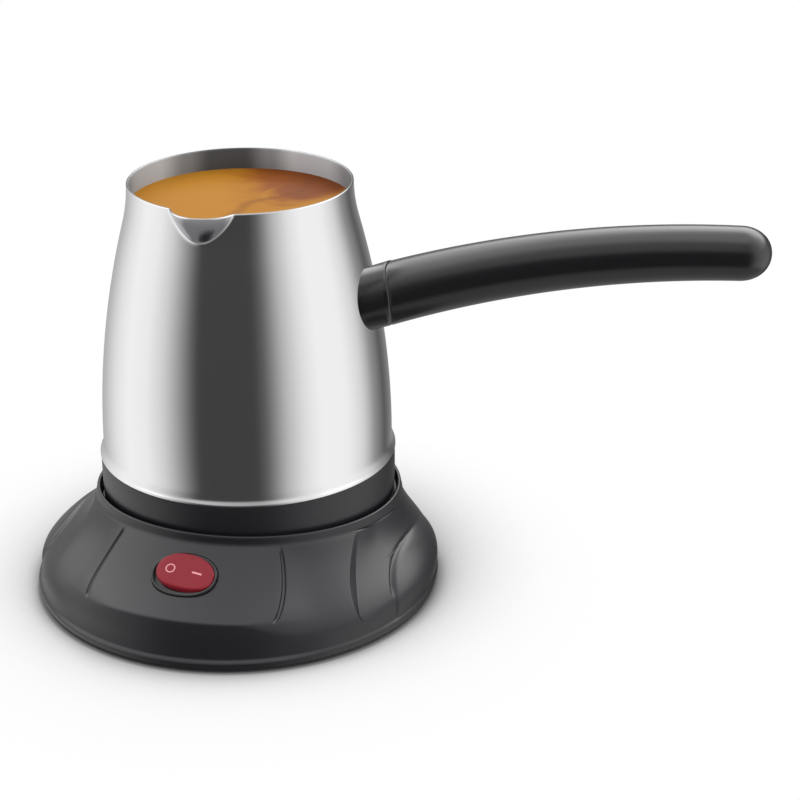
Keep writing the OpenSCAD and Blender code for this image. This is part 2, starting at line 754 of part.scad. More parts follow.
body_length = bezel_length - 2.2;
body_width = bezel_width - 2.2;
body_depth = 11.5;
pocket_length = bezel_length - 1.2;
pocket_width = bezel_width - 2.3;
well_length = 16.4;
well_width = 10.4;
well_depth = 10;
trunnion_r = 1;
terminal_len = 5;
terminal_t = 0.8;
terminal_width = 4.8;

module switch_housing() {
    color([0.06, 0.06, 0.07]) on_switch() difference() {
        union() {
            oval(bezel_length, bezel_width, -bezel_depth, bezel_rise);
            oval(body_length, body_width, -body_depth, -bezel_depth + eps);
        }
        oval(pocket_length, pocket_width, -1.3, 5);
        oval(well_length, well_width, -well_depth, 0);
        translate([0, 0, rocker_pivot]) rotate([90, 0, 0])
            cylinder(h = body_width + 2, r = trunnion_r + pin_gap, center = true, $fn = 32);
    }
}

rocker_length = bezel_length - 2.4;
rocker_end_r = pocket_length / 2 - 0.3;
rocker_width = bezel_width - 3;
rocker_top = 3.4;
rocker_body_length = 12.6;
rocker_body_width = 9;
module switch_rocker() {
    crown = 30;
    color([0.75, 0.08, 0.1]) on_switch() translate([0, 0, rocker_pivot])
        rotate([0, rocker_swing / 2, 0]) translate([0, 0, -rocker_pivot]) {
            intersection() {
                oval(rocker_length, rocker_width, 0.9, rocker_top + 1);
                translate([0, 0, rocker_top - crown]) rotate([90, 0, 0])
                    cylinder(h = 40, r = crown, center = true);
                translate([0, 0, rocker_pivot]) rotate([90, 0, 0])
                    cylinder(h = 40, r = rocker_end_r, center = true);
            }
            oval(rocker_body_length, rocker_body_width, rocker_pivot - 1.7, 1);
            translate([0, 0, rocker_pivot]) rotate([90, 0, 0])
                cylinder(h = body_width - 0.4, r = trunnion_r, center = true, $fn = 32);
        }
}

module switch_terminals() {
    color([0.85, 0.7, 0.35]) on_switch() for (x = [-6, 0, 6])
        translate([x - terminal_t / 2, -terminal_width / 2, -body_depth - terminal_len]) difference() {
            cube([terminal_t, terminal_width, terminal_len]);
            translate([-1, terminal_width / 2, 2]) rotate([0, 90, 0])
                cylinder(h = terminal_t + 2, r = 0.8, $fn = 24);
        }
}

module neon_lamp() {
    lamp_z = -well_depth + 2.4;
    color([0.95, 0.6, 0.4]) on_switch() {
        translate([0, 0, lamp_z]) rotate([0, 90, 0]) cylinder(h = 8, r = 1.6, center = true);
        translate([-3, -1.2, -well_depth]) cube([6, 2.4, 1.6]);
    }
}

function on_switch_point(p) = let (c = cos(switch_slope), s = sin(switch_slope))
    [p[0], -switch_point[0] + c * p[1] - s * p[2], switch_point[1] + s * p[1] + c * p[2]];

switch_down = [0, sin(switch_slope), -cos(switch_slope)];
terminal_end = -body_depth - terminal_len;
module switch_lead() {
    color([0.45, 0.25, 0.12]) lead(curve(on_switch_point([-6, 0, terminal_end]), 4 * switch_down,
        [-blade_reach, 0, contact_tail], [0, 0, 2]));
}

module lamp_lead() {
    color([0.2, 0.35, 0.7]) lead(curve(on_switch_point([6, 0, terminal_end]), 4 * switch_down,
        [blade_reach, 0, contact_tail], [0, 0, 2]));
}

// ------------------------------------------------------ base, continued ----

boss_reach = 43;
boss_r = 3.6;
cup_h = 2.5;
module at_bosses() {
    for (a = [45, 135, 225, 315]) rotate([0, 0, a]) translate([boss_reach, 0, 0]) children();
}

gland_seat = outline(180, outline_radius) + 0.6;
gland_body_r = cord_bore_radius + 1.9;
gland_boss_r = gland_body_r + 2.4;
gland_boss_len = 6;
module on_gland() {
    translate([0, 0, cord_height]) rotate([-90, 0, 0]) children();
}

module base_cover() {
    well_r = tower_radius + slide_gap;
    boss_foot = cover_z + cup_h + fit_gap;
    color([0.13, 0.13, 0.14]) difference() {
        union() {
            difference() {
                cover_solid();
                difference() {
                    cover_cavity();
                    translate([0, 0, seat_under]) cylinder(h = 40, r = seat_radius + 1.7);
                    on_switch() oval(bezel_length + 3, bezel_width + 2.6, -bezel_depth - 1.5, 3);
                }
                translate([0, 0, seat_height]) cylinder(h = 40, r = seat_radius);
            }
            at_bosses() translate([0, 0, boss_foot]) cylinder(h = seat_under - boss_foot + 1, r = boss_r);
            on_gland() translate([0, 0, gland_seat - gland_boss_len])
                cylinder(h = gland_boss_len, r = gland_boss_r);
        }
        translate([0, 0, seat_under - 1]) cylinder(h = 10, r = well_r);
        at_bosses() translate([0, 0, 0]) cylinder(h = seat_under - 2, r = screw_r + pin_gap);
        for (s = [-1, 1]) translate([s * coupler_base_reach, 0, base_flange_z])
            cylinder(h = coupler_screw_len + 0.2, r = screw_r + pin_gap);
        on_switch() {
            oval(bezel_length + 0.4, bezel_width + 0.4, -bezel_depth, 6);
            oval(body_length + 0.3, body_width + 0.3, -body_depth, 1);
        }
        on_gland() translate([0, 0, gland_seat - 12]) cylinder(h = 20, r = gland_body_r + pin_gap);
        panel_grooves();
    }
}

foot_r = 6;
foot_reach = 53.5;
module at_feet() {
    translate([0, -base_offset, 0]) for (a = [45, 135, 225, 315])
        rotate([0, 0, a]) translate([foot_reach, 0, 0]) children();
}

lip_gap = 1.4;
lip_h = 2;
lip_t = 1.6;
foot_stud_r = 2;
module base_plate() {
    lip_r = outline_radius - cover_wall - lip_gap;
    color([0.1, 0.1, 0.11]) difference() {
        union() {
            translate([0, -base_offset, 0]) {
                translate([0, 0, plate_z]) cylinder(h = plate_t, r = outline_radius - 0.4);
                translate([0, 0, plate_z]) difference() {
                    cylinder(h = plate_t + lip_h, r = lip_r);
                    translate([0, 0, plate_t]) cylinder(h = lip_h + 1, r = lip_r - lip_t);
                }
            }
            at_bosses() translate([0, 0, plate_z]) cylinder(h = plate_t + cup_h, r = screw_head_r + 1.8);
        }
        at_bosses() {
            translate([0, 0, plate_z - 1]) cylinder(h = cup_h + 1, r = screw_head_r + 0.3);
            cylinder(h = cover_z + cup_h + 1, r = screw_r + pin_gap);
        }
        at_feet() {
            translate([0, 0, plate_z - 1]) cylinder(h = 1.6, r = foot_r + fit_gap);
            cylinder(h = cover_z + 1, r = foot_stud_r + pin_gap);
        }
        on_gland() translate([0, 0, gland_seat - gland_boss_len - 1])
            cylinder(h = gland_boss_len + 2, r = gland_boss_r + fit_gap);
    }
}

plate_screw_len = 12;
module base_screws() {
    color("silver") at_bosses() translate([0, 0, plate_z + cup_h]) screw(plate_screw_len);
}

module feet() {
    color([0.25, 0.25, 0.26]) at_feet() {
        cylinder(h = plate_z + 0.6, r = foot_r);
        translate([0, 0, plate_z + 0.6 - eps]) cylinder(h = plate_t, r = foot_stud_r);
        translate([0, 0, cover_z + pin_gap])
            cylinder(h = 1.6, r1 = foot_stud_r + 0.9, r2 = foot_stud_r - 0.4);
    }
}

module cord_gland() {
    color([0.07, 0.07, 0.08]) on_gland() difference() {
        union() {
            translate([0, 0, gland_seat - 9]) cylinder(h = 11, r = gland_body_r);
            translate([0, 0, gland_seat + fit_gap]) cylinder(h = 2, r = gland_body_r + 1.6);
            translate([0, 0, gland_seat - 7.9]) cylinder(h = 1.7, r = gland_body_r + 0.9);
        }
        translate([0, 0, gland_seat - 10]) cylinder(h = 14, r = cord_bore_radius);
    }
}

pot_shell();
heater_plate();
heater_tube();
thermostat();
bimetal_disc();
plate_posts();
pot_skirt();
skirt_screws();
pot_coupler();
live_blade();
neutral_blade();
earth_blade();
pot_coupler_screws();
heater_lead();
thermostat_lead();
thermostat_link();
handle_bracket();
handle_collar();
handle_grip();
handle_screw();
base_cover();
base_plate();
base_screws();
feet();
base_coupler();
live_contact();
neutral_contact();
earth_contact();
base_coupler_screws();
switch_housing();
switch_rocker();
switch_terminals();
neon_lamp();
switch_lead();
lamp_lead();
cord_gland();
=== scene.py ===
import math

import bpy
import numpy as np
from mathutils import Matrix, Vector


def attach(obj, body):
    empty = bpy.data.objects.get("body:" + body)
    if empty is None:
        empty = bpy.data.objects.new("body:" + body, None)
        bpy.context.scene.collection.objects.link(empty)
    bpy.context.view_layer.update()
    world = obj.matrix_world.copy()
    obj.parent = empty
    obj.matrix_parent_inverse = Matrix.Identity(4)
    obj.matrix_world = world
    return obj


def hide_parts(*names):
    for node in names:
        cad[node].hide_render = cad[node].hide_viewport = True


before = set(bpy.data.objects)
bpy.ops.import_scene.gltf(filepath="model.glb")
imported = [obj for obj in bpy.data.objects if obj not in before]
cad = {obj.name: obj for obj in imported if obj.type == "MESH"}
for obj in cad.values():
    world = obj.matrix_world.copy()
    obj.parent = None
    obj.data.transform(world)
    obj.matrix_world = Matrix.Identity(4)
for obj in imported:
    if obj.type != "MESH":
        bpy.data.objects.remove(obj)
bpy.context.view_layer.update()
scene = bpy.context.scene

# ---- Camera ----
# The photo's viewing angle: in front of the machine, a little to the right
# and above it, with a long lens.
eye = bpy.data.objects.new("camera", bpy.data.cameras.new("camera"))
eye.location = (0.2115, -0.56575, 0.3167)
eye.rotation_euler = (math.radians(66.65), 0, math.radians(15.77))
eye.data.lens = 90.45
eye.data.sensor_width = 36
scene.collection.objects.link(eye)
scene.camera = eye
scene.view_settings.view_transform = "Standard"

# ---- Studio ----
# A white sweep lit by soft boxes. Polished metal mirrors a studio of its own:
# pale walls at the sides, a dark room in front, a pale ceiling and a grey floor.
world = bpy.data.worlds.new("studio")
scene.world = world
world.use_nodes = True
tree = world.node_tree
tree.nodes.clear()


def node(tree, kind, settings=None, **links):
    """Adds a shader node and fills its sockets, named or numbered (_0 is the first)."""
    n = tree.nodes.new("ShaderNode" + kind)
    for key, value in (settings or {}).items():
        setattr(n, key, value)
    for key, value in links.items():
        socket = n.inputs[int(key[1:])] if key[0] == "_" else n.inputs[key]
        if isinstance(value, bpy.types.Node):
            value = value.outputs[0]
        if isinstance(value, bpy.types.NodeSocket):
            tree.links.new(value, socket)
        else:
            socket.default_value = value
    return n


def sums(tree, operation, *values):
    """A Math node with its values in order."""
    return node(tree, "Math", {"operation": operation}, **{f"_{k}": v for k, v in enumerate(values)})


def remap(tree, value, start, end, low=0.0, high=1.0, kind="LINEAR"):
    """Goes from low to high while the value goes from start to end."""
    return node(tree, "MapRange", {"interpolation_type": kind}, _0=value, _1=start, _2=end, _3=low, _4=high)


def ramp(tree, fac, stops, smooth="EASE"):
    """A colour ramp from (place, colour) stops, where a number is a grey."""
    r = node(tree, "ValToRGB", _0=fac)
    r.color_ramp.interpolation = smooth
    while len(r.color_ramp.elements) < len(stops):
        r.color_ramp.elements.new(0.5)
    for e, (place, colour) in zip(r.color_ramp.elements, stops):
        e.position = place
        e.color = (*colour, 1) if isinstance(colour, tuple) else (colour, colour, colour, 1)
    return r


way = node(tree, "SeparateXYZ", _0=node(tree, "TexCoord").outputs["Generated"])
back = sums(tree, "MULTIPLY", way.outputs[1], -1.0)
turn = sums(tree, "ARCTAN2", way.outputs[0], back)
round_room = remap(tree, turn, -math.pi, math.pi)
walls = ramp(tree, round_room, [
    (0.0, 0.25), (0.14, 0.55), (0.21, 0.88), (0.26, 1.04), (0.32, 0.98), (0.365, 0.74), (0.405, 0.36),
    (0.43, 0.15), (0.448, 0.055), (0.575, 0.055), (0.598, 0.13), (0.616, 0.28), (0.638, 0.52),
    (0.68, 0.86), (0.72, 1.04), (0.79, 1.02), (0.84, 0.78), (0.885, 0.32), (0.94, 0.10), (1.0, 0.25)],
    "LINEAR")
vault = ramp(tree, round_room, [
    (0.0, 1.3), (0.14, 0.9), (0.30, 0.6), (0.41, 0.2), (0.57, 0.14), (0.68, 0.3), (0.80, 0.6),
    (0.90, 1.3), (1.0, 1.3)])
vault = node(tree, "VectorMath", {"operation": "SCALE"}, _0=vault, _3=3.0)
height = remap(tree, way.outputs[2], 0.26, 0.52, kind="SMOOTHSTEP")
zenith = remap(tree, way.outputs[2], 0.80, 0.97, kind="SMOOTHSTEP")
depth = remap(tree, way.outputs[2], -0.60, -0.74)
room = node(tree, "MixRGB", _0=height, _1=walls, _2=vault)
room = node(tree, "MixRGB", _0=zenith, _1=room, _2=(1.5, 1.5, 1.52, 1))
room = node(tree, "MixRGB", _0=depth, _1=room, _2=(0.40, 0.40, 0.41, 1))
path = node(tree, "LightPath")
seen = sums(tree, "MAXIMUM", path.outputs["Is Camera Ray"], path.outputs["Is Transmission Ray"])
soft = node(tree, "MixRGB", _0=path.outputs["Is Glossy Ray"], _1=(0.55, 0.55, 0.56, 1), _2=room)
sky = node(tree, "MixRGB", _0=seen, _1=soft, _2=(1, 1, 1, 1))
node(tree, "OutputWorld", _0=node(tree, "Background", _0=sky, _1=1.0))

aim = Vector((0, 0, 0.06))
for name, place, size, power in (
        ("ceiling_box", (0.1, -0.1, 1.2), 1.4, 11), ("left_box", (-1.0, -0.6, 0.7), 0.9, 5),
        ("right_box", (1.0, -0.3, 0.6), 0.9, 7)):
    lamp = bpy.data.objects.new(name, bpy.data.lights.new(name, "AREA"))
    lamp.data.size = size
    lamp.data.energy = power
    lamp.location = place
    lamp.rotation_euler = (aim - lamp.location).to_track_quat("-Z", "Y").to_euler()
    lamp.visible_glossy = False
    scene.collection.objects.link(lamp)

# The camera sees white paper with a painted shadow: where ambient occlusion finds the machine close over
# it, dark grey paper is mixed in, which also takes the lamps' real shadow. All other light meets plain pale
# paper.
bpy.ops.mesh.primitive_plane_add(size=12)
floor = bpy.context.object
floor.name = "floor"
floor.visible_glossy = False
sweep = bpy.data.materials.new("white_sweep")
sweep.use_nodes = True
tree = sweep.node_tree
tree.nodes.clear()
path = node(tree, "LightPath")
paper = node(tree, "BsdfDiffuse", _0=(0.80, 0.80, 0.80, 1))
# Painted shadow: the dark grey paper that the occlusion mixes in near the machine.
painted_shadow_paper = node(tree, "BsdfDiffuse", _0=(0.13, 0.13, 0.13, 1))
white = node(tree, "Emission", _0=(1, 1, 1, 1), _1=1.0)
open_sky = node(tree, "AmbientOcclusion", {"samples": 24}, Distance=0.06)
clear = ramp(tree, open_sky.outputs["AO"], [
    (0.30, 0.0), (0.55, 0.10), (0.70, 0.40), (0.82, 0.72), (0.92, 0.92), (0.99, 1.0)], "LINEAR")
fade = node(tree, "MixShader", _0=clear, _1=painted_shadow_paper, _2=white)
seen = node(tree, "MixShader", _0=path.outputs["Is Camera Ray"], _1=paper, _2=fade)
node(tree, "OutputMaterial", _0=seen)
floor.data.materials.append(sweep)

# ---- Pot ----
# Deep-drawn stainless steel, polished to a soft mirror, with a rolled rim, a
# flared lower edge and a lip pressed into its front.
MM = 0.001
flange_z, rim_z, pot_floor = 41.7, 131.8, 47.1
rim_r, belly_r, wall_t, neck = 35.4, 47.1, 0.8, 0.85
flare_w, flare_h, flare_power = 1.4, 3.5, 2.2
lip_tip, lip_depth, lip_half, lip_power, lip_blend = 41.0, 9.5, 16.6, 1.2, 0.7
bead, corner = wall_t / 2, 4.0


def ease(x, a, b):
    t = min(1, max(0, (x - a) / (b - a)))
    return t * t * (3 - 2 * t)


def mix(p, q, w):
    return p * (1 - w) + q * w


def wall_radius(z):
    """The bell's outer radius at a height: a parabola that turns upright at the neck."""
    t = max(0, (z - flange_z - flare_h) / (rim_z - flange_z - flare_h))
    drop = t * t / neck if t < neck else neck + 2 * (t - neck) - (t - neck) ** 2 / (1 - neck)
    flare = max(0, (flange_z + flare_h - z) / flare_h)
    return belly_r - (belly_r - rim_r) * drop + flare_w * flare ** flare_power


lip_c = (lip_tip ** 2 - rim_r ** 2) / (2 * (lip_tip - rim_r * math.cos(math.radians(lip_half))))
lip_r = lip_tip - lip_c
lip_taper = lip_r - (wall_radius(rim_z - lip_depth) - lip_c)


def pot_radius(a, z):
    """The wall with its pouring lip: a round funnel that tapers and melts into the wall."""
    r = wall_radius(z)
    rc = lip_r - lip_taper * (max(0, rim_z - z) / lip_depth) ** lip_power
    side = lip_c * math.sin(a)
    if math.cos(a) < 0 or abs(side) > rc * 0.999:
        return r
    lip = lip_c * math.cos(a) + math.sqrt(rc * rc - side * side)
    h = max(lip_blend - abs(lip - r), 0) / lip_blend
    return max(lip, r) + h * h * lip_blend / 4


def at(a, r, z):
    """A point at an angle from the front (radians), a radius and a height, in metres."""
    return (r * math.sin(a) * MM, -r * math.cos(a) * MM, z * MM)


def loft(name, rings, end_cap=True, tube_closed=False):
    """A smooth skin over closed rings of points that all have the same count."""
    n, m = len(rings[0]), len(rings)
    faces = []
    for i in range(m if tube_closed else m - 1):
        p, q = i * n, ((i + 1) % m) * n
        for k in range(n):
            j = (k + 1) % n
            faces.append((p + k, p + j, q + j, q + k))
    if not tube_closed:
        faces.append(tuple(range(n - 1, -1, -1)))
        if end_cap:
            faces.append(tuple((m - 1) * n + k for k in range(n)))
    mesh = bpy.data.meshes.new(name)
    mesh.from_pydata([p for ring in rings for p in ring], [], faces)
    mesh.shade_smooth()
    mesh.set_sharp_from_angle(angle=math.radians(35))
    mesh.validate()
    piece = bpy.data.objects.new(name, mesh)
    scene.collection.objects.link(piece)
    return piece


def new_material(name, colour, rough, metallic=0.0):
    """A Principled material with its plain values set; returns it with its tree and shader."""
    mat = bpy.data.materials.new(name)
    mat.use_nodes = True
    shader = mat.node_tree.nodes["Principled BSDF"]
    shader.inputs["Base Color"].default_value = (*colour, 1)
    shader.inputs["Roughness"].default_value = rough
    shader.inputs["Metallic"].default_value = metallic
    return mat, mat.node_tree, shader


def grain(tree, shader, scale, depth, distance=0.00002, detail=4.0, stretch=None):
    """Fine bump from noise, in the piece's own space; returns the noise's value."""
    where = node(tree, "TexCoord").outputs["Object"]
    if stretch:
        where = node(tree, "Mapping", _0=where, _3=stretch)
    noise = node(tree, "TexNoise", Vector=where, Scale=scale, Detail=detail)
    bump = node(tree, "Bump", Height=noise.outputs["Fac"], Strength=depth, Distance=distance)
    tree.links.new(bump.outputs[0], shader.inputs["Normal"])
    return noise.outputs["Fac"]


pot_steel, tree, shader = new_material("pot_steel", (0.84, 0.84, 0.85), 0.16, 1.0)
grain(tree, shader, 260, 0.12, 0.00001, 3.0, (1, 1, 14))
spot = node(tree, "TexCoord")
cloud = node(tree, "TexNoise", Vector=spot.outputs["Object"], Scale=18.0, Detail=2.0)
haze = remap(tree, cloud.outputs["Fac"], 0.0, 1.0, 0.13, 0.17)
# The inside is drawn but not polished: matte and not metallic, with painted reflections in its colour,
# darkest where it faces the dark room.
flat = node(tree, "VectorMath", {"operation": "MULTIPLY"}, _0=spot.outputs["Object"], _1=(1, 1, 0))
facing = node(tree, "VectorMath", {"operation": "DOT_PRODUCT"}, _0=flat, _1=spot.outputs["Normal"])
inside = remap(tree, facing.outputs["Value"], -0.010, -0.022)
way = node(tree, "SeparateXYZ", _0=spot.outputs["Object"])
turn = sums(tree, "ARCTAN2", way.outputs[0], way.outputs[1])
# Painted reflection: the inside's grey runs light and dark by the angle around the pot.
inside_painted_reflection = ramp(tree, remap(tree, turn, -math.pi, math.pi), [
    (0.0, 0.25), (0.20, 0.25), (0.26, 0.42), (0.31, 0.46), (0.36, 0.2), (0.40, 0.07), (0.45, 0.07),
    (0.49, 0.26), (0.53, 0.60), (0.59, 0.60), (0.65, 0.3), (0.72, 0.16), (1.0, 0.25)])
inside_painted_reflection = node(tree, "MixRGB", {"blend_type": "MULTIPLY"}, _0=1.0, _1=inside_painted_reflection, _2=(0.94, 0.99, 1.03, 1))
# Painted reflection and shade: faces that look down are painted darker, as if they mirrored the dark base,
# and the bead's top is painted darker too.
lean_z = node(tree, "SeparateXYZ", _0=spot.outputs["Normal"]).outputs[2]
painted_underside_shade = remap(tree, lean_z, -0.12, -0.5, kind="SMOOTHSTEP")
painted_bead_top_shade = remap(tree, lean_z, 0.55, 0.85, kind="SMOOTHSTEP")
painted_steel_colour = node(tree, "MixRGB", _0=painted_underside_shade, _1=(0.84, 0.84, 0.85, 1), _2=(0.36, 0.36, 0.37, 1))
painted_steel_colour = node(tree, "MixRGB", _0=painted_bead_top_shade, _1=painted_steel_colour, _2=(0.22, 0.22, 0.22, 1))
painted_steel_colour = node(tree, "MixRGB", _0=inside, _1=painted_steel_colour, _2=inside_painted_reflection)
metal = remap(tree, inside, 0.0, 1.0, 1.0, 0.0)
rough = remap(tree, inside, 0.0, 1.0, haze, 0.5)
tree.links.new(painted_steel_colour.outputs[0], shader.inputs["Base Color"])
tree.links.new(metal.outputs[0], shader.inputs["Metallic"])
tree.links.new(rough.outputs[0], shader.inputs["Roughness"])

angles = [math.radians(k) for k in range(360)]
outside = [flange_z + up for up in (0.25, 0.7, 1.3, 2.0, 2.8, flare_h, 5)]
outside += [flange_z + 8 + 4.0 * k for k in range(18)]
outside += [rim_z - 12.6 + 0.42 * k for k in range(30)]
rings = [[at(a, wall_radius(flange_z) - inset, flange_z) for a in angles] for inset in (0.62, 0.2)]
rings += [[at(a, pot_radius(a, z), z) for a in angles] for z in outside]
for w in (0, 30, 60, 90, 120, 150, 180):
    rings.append([at(a, pot_radius(a, rim_z) - bead + bead * math.cos(math.radians(w)),
                     rim_z - bead + bead * math.sin(math.radians(w))) for a in angles])
rings += [[at(a, pot_radius(a, z) - wall_t, z) for a in angles]
          for z in reversed(outside) if pot_floor + corner < z < rim_z - 0.6]
for w in (15, 35, 55, 75, 90):
    rings.append([at(a, wall_radius(pot_floor + corner) - wall_t - corner * (1 - math.cos(math.radians(w))),
                     pot_floor + corner * (1 - math.sin(math.radians(w)))) for a in angles])
rings += [[at(a, r, pot_floor) for a in angles] for r in (30, 15, 2)]
rings += [[at(a, r, pot_floor - wall_t) for a in angles] for r in (2, 20, 40, belly_r - wall_t - 0.8)]
rings += [[at(a, wall_radius(z) - wall_t, z) for a in angles]
          for z in (pot_floor - wall_t - 0.6, flange_z + flare_h, flange_z + 2.4, flange_z + 1.2)]
pot = loft("pot_shell_polished", rings, tube_closed=True)
pot.data.materials.append(pot_steel)
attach(pot, "pot")
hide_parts("pot_shell")

# ---- Coffee ----
# The pot is full of coffee under a thick orange foam, stirred into a brown
# swirl at one side. It is no piece of the machine.
fill_z = rim_z - 7.6
rings = [[at(a, 0.4, fill_z) for a in angles]]
for share in (0.2, 0.4, 0.6, 0.75, 0.86, 0.93, 0.97, 0.99, 1.0):
    rim_rise = 0.5 * max(0, (share - 0.9) / 0.1) ** 2
    rings.append([at(a, (pot_radius(a, fill_z) - wall_t - 0.05) * share, fill_z + rim_rise)
                  for a in angles])
coffee = loft("coffee_foam", rings, end_cap=False)
coffee.visible_glossy = False
foam, tree, shader = new_material("coffee_foam", (0.45, 0.19, 0.03), 0.55)
shader.inputs["Specular IOR Level"].default_value = 0.1
# The pattern is laid out in millimetres: once straight, and once turned to the swirl.
spot = node(tree, "TexCoord").outputs["Object"]
straight = node(tree, "SeparateXYZ", _0=node(tree, "Mapping", _0=spot, _3=(1000, 1000, 1000)))
where = node(tree, "Mapping", _0=spot, _2=(0, 0, -0.358), _3=(1000, 1000, 1000))
swirl = node(tree, "TexNoise", Vector=where, Scale=0.055, Detail=3.0, Distortion=1.2).outputs["Fac"]
part = node(tree, "SeparateXYZ", _0=where)
across, along = part.outputs[0], part.outputs[1]
# The brown stain: right of one wavy line and behind another.
side = sums(tree, "MULTIPLY_ADD", along, 0.22, across)
side = sums(tree, "ADD", side, sums(tree, "MULTIPLY_ADD", swirl, 26.0, -13.0))
right = remap(tree, side, -6.0, 24.0, kind="SMOOTHSTEP")
edge = sums(tree, "MULTIPLY_ADD", across, -0.72, along)
edge = sums(tree, "MULTIPLY_ADD", swirl, 9.0, edge)
behind = remap(tree, edge, -16.0, -4.0, kind="SMOOTHSTEP")
tint = ramp(tree, sums(tree, "MULTIPLY", right, behind), [
    (0.0, (0.35, 0.15, 0.014)), (0.35, (0.29, 0.115, 0.010)), (0.7, (0.19, 0.055, 0.008)),
    (1.0, (0.14, 0.036, 0.006))], "LINEAR")
# A thin dark streak that bends to the right, and a small cream-coloured patch.
bend = remap(tree, straight.outputs[1], -2.0, 17.0, 2.0, 14.3, "SMOOTHSTEP")
aside = sums(tree, "SUBTRACT", straight.outputs[0], bend)
aside = sums(tree, "MULTIPLY_ADD", swirl, 3.0, aside)
aside = sums(tree, "ABSOLUTE", sums(tree, "SUBTRACT", aside, 1.5))
streak = remap(tree, aside, 3.4, 0.0, 0.0, 0.42, "SMOOTHSTEP")
tint = node(tree, "MixRGB", _0=streak, _1=tint, _2=(0.11, 0.03, 0.006, 1))
cream = node(tree, "Mapping", _0=where, _1=(5.8, 6.8, 0), _3=(0.16, 0.28, 0))
cream = node(tree, "VectorMath", {"operation": "LENGTH"}, _0=cream).outputs["Value"]
cream = sums(tree, "MULTIPLY_ADD", swirl, 1.4, cream)
patch = remap(tree, cream, 1.5, 0.9, 0.0, 0.45, "SMOOTHSTEP")
tint = node(tree, "MixRGB", _0=patch, _1=tint, _2=(0.50, 0.32, 0.14, 1))
tree.links.new(tint.outputs[0], shader.inputs["Base Color"])
bubbles = node(tree, "TexNoise", Vector=where, Scale=0.9, Detail=2.0)
bump = node(tree, "Bump", Height=bubbles.outputs["Fac"], Strength=0.15, Distance=0.0002)
tree.links.new(bump.outputs[0], shader.inputs["Normal"])
coffee.data.materials.append(foam)
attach(coffee, "pot")

# ---- Skirt ----
# Black heat-proof moulding that closes the pot below and hides the heater. Its
# upper edge stands inside the steel's flare, and screws from below hold it.
shell_black, tree, shader = new_material("shell_black", (0.010, 0.010, 0.012), 0.34)
speck = grain(tree, shader, 2600, 0.25)
wear = remap(tree, speck, 0.0, 1.0, 0.31, 0.37)
tree.links.new(wear.outputs[0], shader.inputs["Roughness"])
turns = [2 * math.pi * k / 192 for k in range(192)]
skirt = loft("pot_skirt_moulded", [[at(a, r, z) for a in turns] for r, z in (
    (17.7, 26.8), (40, 26.8), (43.1, 26.8), (44.0, 25.4), (44.7, 24.4), (45.3, 24.2), (46.8, 24.2),
    (47.3, 24.35), (47.6, 24.7), (47.75, 25.3), (48.0, 30), (48.1, 34), (48.1, 40.8), (48.0, 41.3),
    (47.8, 41.6), (47.5, 41.7), (45.9, 41.7), (45.9, 44.7), (45.7, 44.9), (43.9, 44.9), (43.7, 44.7),
    (43.9, 35), (43.4, 29.2), (42.9, 29), (17.7, 29))], tube_closed=True)
skirt.data.materials.append(shell_black)
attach(skirt, "pot")
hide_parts("pot_skirt")

# ---- Handle ----
# Two phenolic mouldings on a steel tang: a short collar against the pot and the
# long bowed grip, whose rounded end nests in the hollow collar. Reflections
# leave both out, because the steel in the photo shows no image of them.
grip_black, tree, shader = new_material("grip_black", (0.005, 0.005, 0.006), 0.24)
shader.inputs["Specular IOR Level"].default_value = 0.85
speck = grain(tree, shader, 2200, 0.3)
wear = remap(tree, speck, 0.0, 1.0, 0.21, 0.27)
tree.links.new(wear.outputs[0], shader.inputs["Roughness"])
root_x, root_z, root_r, tip_x, tip_r = 40.8, 95.9, 9.9, 165.2, 8.0
slope, droop, seam_x, seam_r, collar_bar_r = 21.7, 22.9, 48.8, 22.0, 9.8
lean = math.radians(5)
run = tip_x - root_x
grip_end, round_length, square_x = tip_x - 0.3, 9.2, 62


def handle_mid(x):
    t = x - root_x
    return root_z + t * math.tan(math.radians(slope)) - droop * (t / run) ** 2


def handle_place(x, w, scale=1.0):
    """A point of the grip's surface at a station and an angle about the grip's middle."""
    pitch = math.atan(math.tan(math.radians(slope)) - 2 * droop * (x - root_x) / run ** 2)
    r = mix(root_r, tip_r, (x - root_x) / run) * scale
    up = r * math.sin(w)
    return x - up * math.sin(pitch), r * math.cos(w), handle_mid(x) + up * math.cos(pitch)


def past_seam(p, gap):
    """How far a point lies beyond the curved seam, towards the tip."""
    reach = (p[0] - seam_x) * math.cos(lean) + (p[2] - root_z) * math.sin(lean)
    return reach - seam_r + math.sqrt((seam_r - gap) ** 2 - p[1] ** 2)


def seam_at(place, w, gap, low, high):
    """Where a line of the surface crosses the seam."""
    for _ in range(40):
        middle = (low + high) / 2
        low, high = (low, middle) if past_seam(place(middle, w), gap) > 0 else (middle, high)
    return low


def metres(p):
    return tuple(v * MM for v in p)


turns = [2 * math.pi * k / 72 for k in range(72)]
starts = [seam_at(handle_place, w, 0.12, 41, square_x) for w in turns]
rings = [[metres(handle_place(x + d, w, s)) for x, w in zip(starts, turns)]
         for d, s in ((0, 0.05), (0, 0.5), (0, 0.90), (0, 0.945), (0.12, 0.975), (0.5, 0.998), (0.9, 1.0))]
rings += [[metres(handle_place(mix(x + 0.9, square_x, k / 8), w)) for x, w in zip(starts, turns)]
          for k in range(1, 9)]
rings += [[metres(handle_place(mix(square_x, grip_end - round_length, k / 34), w)) for w in turns]
          for k in range(1, 35)]
for k in range(1, 19):
    w = math.sin(math.radians(90 * k / 18))
    scale = (1 - w ** 2.1) ** (1 / 2.1) if k < 18 else 0.06
    rings.append([metres(handle_place(grip_end - round_length * (1 - w), u, scale)) for u in turns])
grip = loft("handle_grip_moulded", rings)
grip.visible_glossy = False
